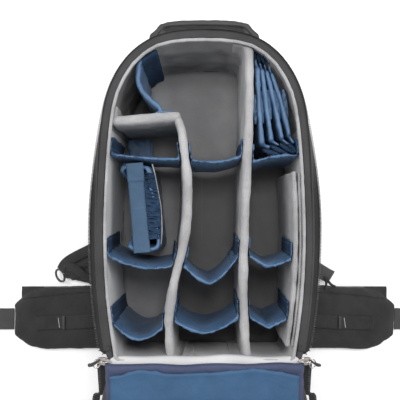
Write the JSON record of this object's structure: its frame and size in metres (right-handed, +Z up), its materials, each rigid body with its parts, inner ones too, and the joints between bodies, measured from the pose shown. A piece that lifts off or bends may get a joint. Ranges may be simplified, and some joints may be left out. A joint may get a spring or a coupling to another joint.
{
  "type": "camera backpack",
  "caption": "Large camera backpack lying on its back, lid open, its lined compartment split by padded grey and blue dividers.",
  "frame": {"origin": "on the floor, at the middle of the back pad's flat resting face", "axes": "+Z up from the floor through the open compartment, +Y from the bag's foot towards its top handle, +X to the right as seen from above"},
  "size_m": [0.8688, 1.0197, 0.2016],
  "materials": {
    "nylon": "dark grey woven nylon",
    "band": "mid grey edge cloth",
    "zip": "black zip tape and coil",
    "grey_lining": "light grey loop cloth",
    "grey_divider": "light grey loop cloth",
    "blue_divider": "blue nylon",
    "blue_lid": "blue nylon",
    "webbing": "black ribbed webbing",
    "mesh_pad": "black air mesh",
    "steel": "polished zinc",
    "black_plastic": "moulded acetal"
  },
  "bodies": {
    "root": {"shell": "nylon", "lid_hinge": "nylon", "lid_shell": "nylon", "shoulder_strap_left": "nylon", "shoulder_strap_right": "nylon", "belt_wing_left": "nylon", "belt_wing_right": "nylon", "rim_band": "band", "zip_body": "zip", "zip_lid": "zip", "lining": "grey_lining", "rim_piping": "grey_divider", "shelf_divider": "grey_divider", "long_divider_left": "grey_divider", "long_divider_right": "grey_divider", "side_panel_inner": "grey_divider", "side_panel_outer": "grey_divider", "divider_left_upper": "blue_divider", "divider_left_middle": "blue_divider", "divider_left_lower": "blue_divider", "divider_middle_upper": "blue_divider", "divider_middle_middle": "blue_divider", "divider_middle_lower": "blue_divider", "divider_right_upper": "blue_divider", "divider_right_middle": "blue_divider", "divider_right_lower": "blue_divider", "divider_corner": "blue_divider", "spare_divider_1": "blue_divider", "spare_divider_2": "blue_divider", "spare_divider_3": "blue_divider", "spare_divider_4": "blue_divider", "strap_pocket": "blue_divider", "strap_pocket_band": "blue_divider", "lid_lining": "blue_lid", "lid_pocket": "blue_lid", "top_handle": "webbing", "slider_pull_left": "webbing", "slider_pull_right": "webbing", "strap_webbing_tail": "webbing", "belt_rail_left": "webbing", "belt_rail_right": "webbing", "belt_webbing_left": "webbing", "belt_webbing_right": "webbing", "back_pad": "mesh_pad", "lumbar_pad": "mesh_pad", "slider_left": "steel", "slider_right": "steel", "slider_ring_left": "steel", "slider_ring_right": "steel", "strap_ring": "black_plastic", "buckle_left": "black_plastic", "buckle_right": "black_plastic"}
  },
  "joints": []
}
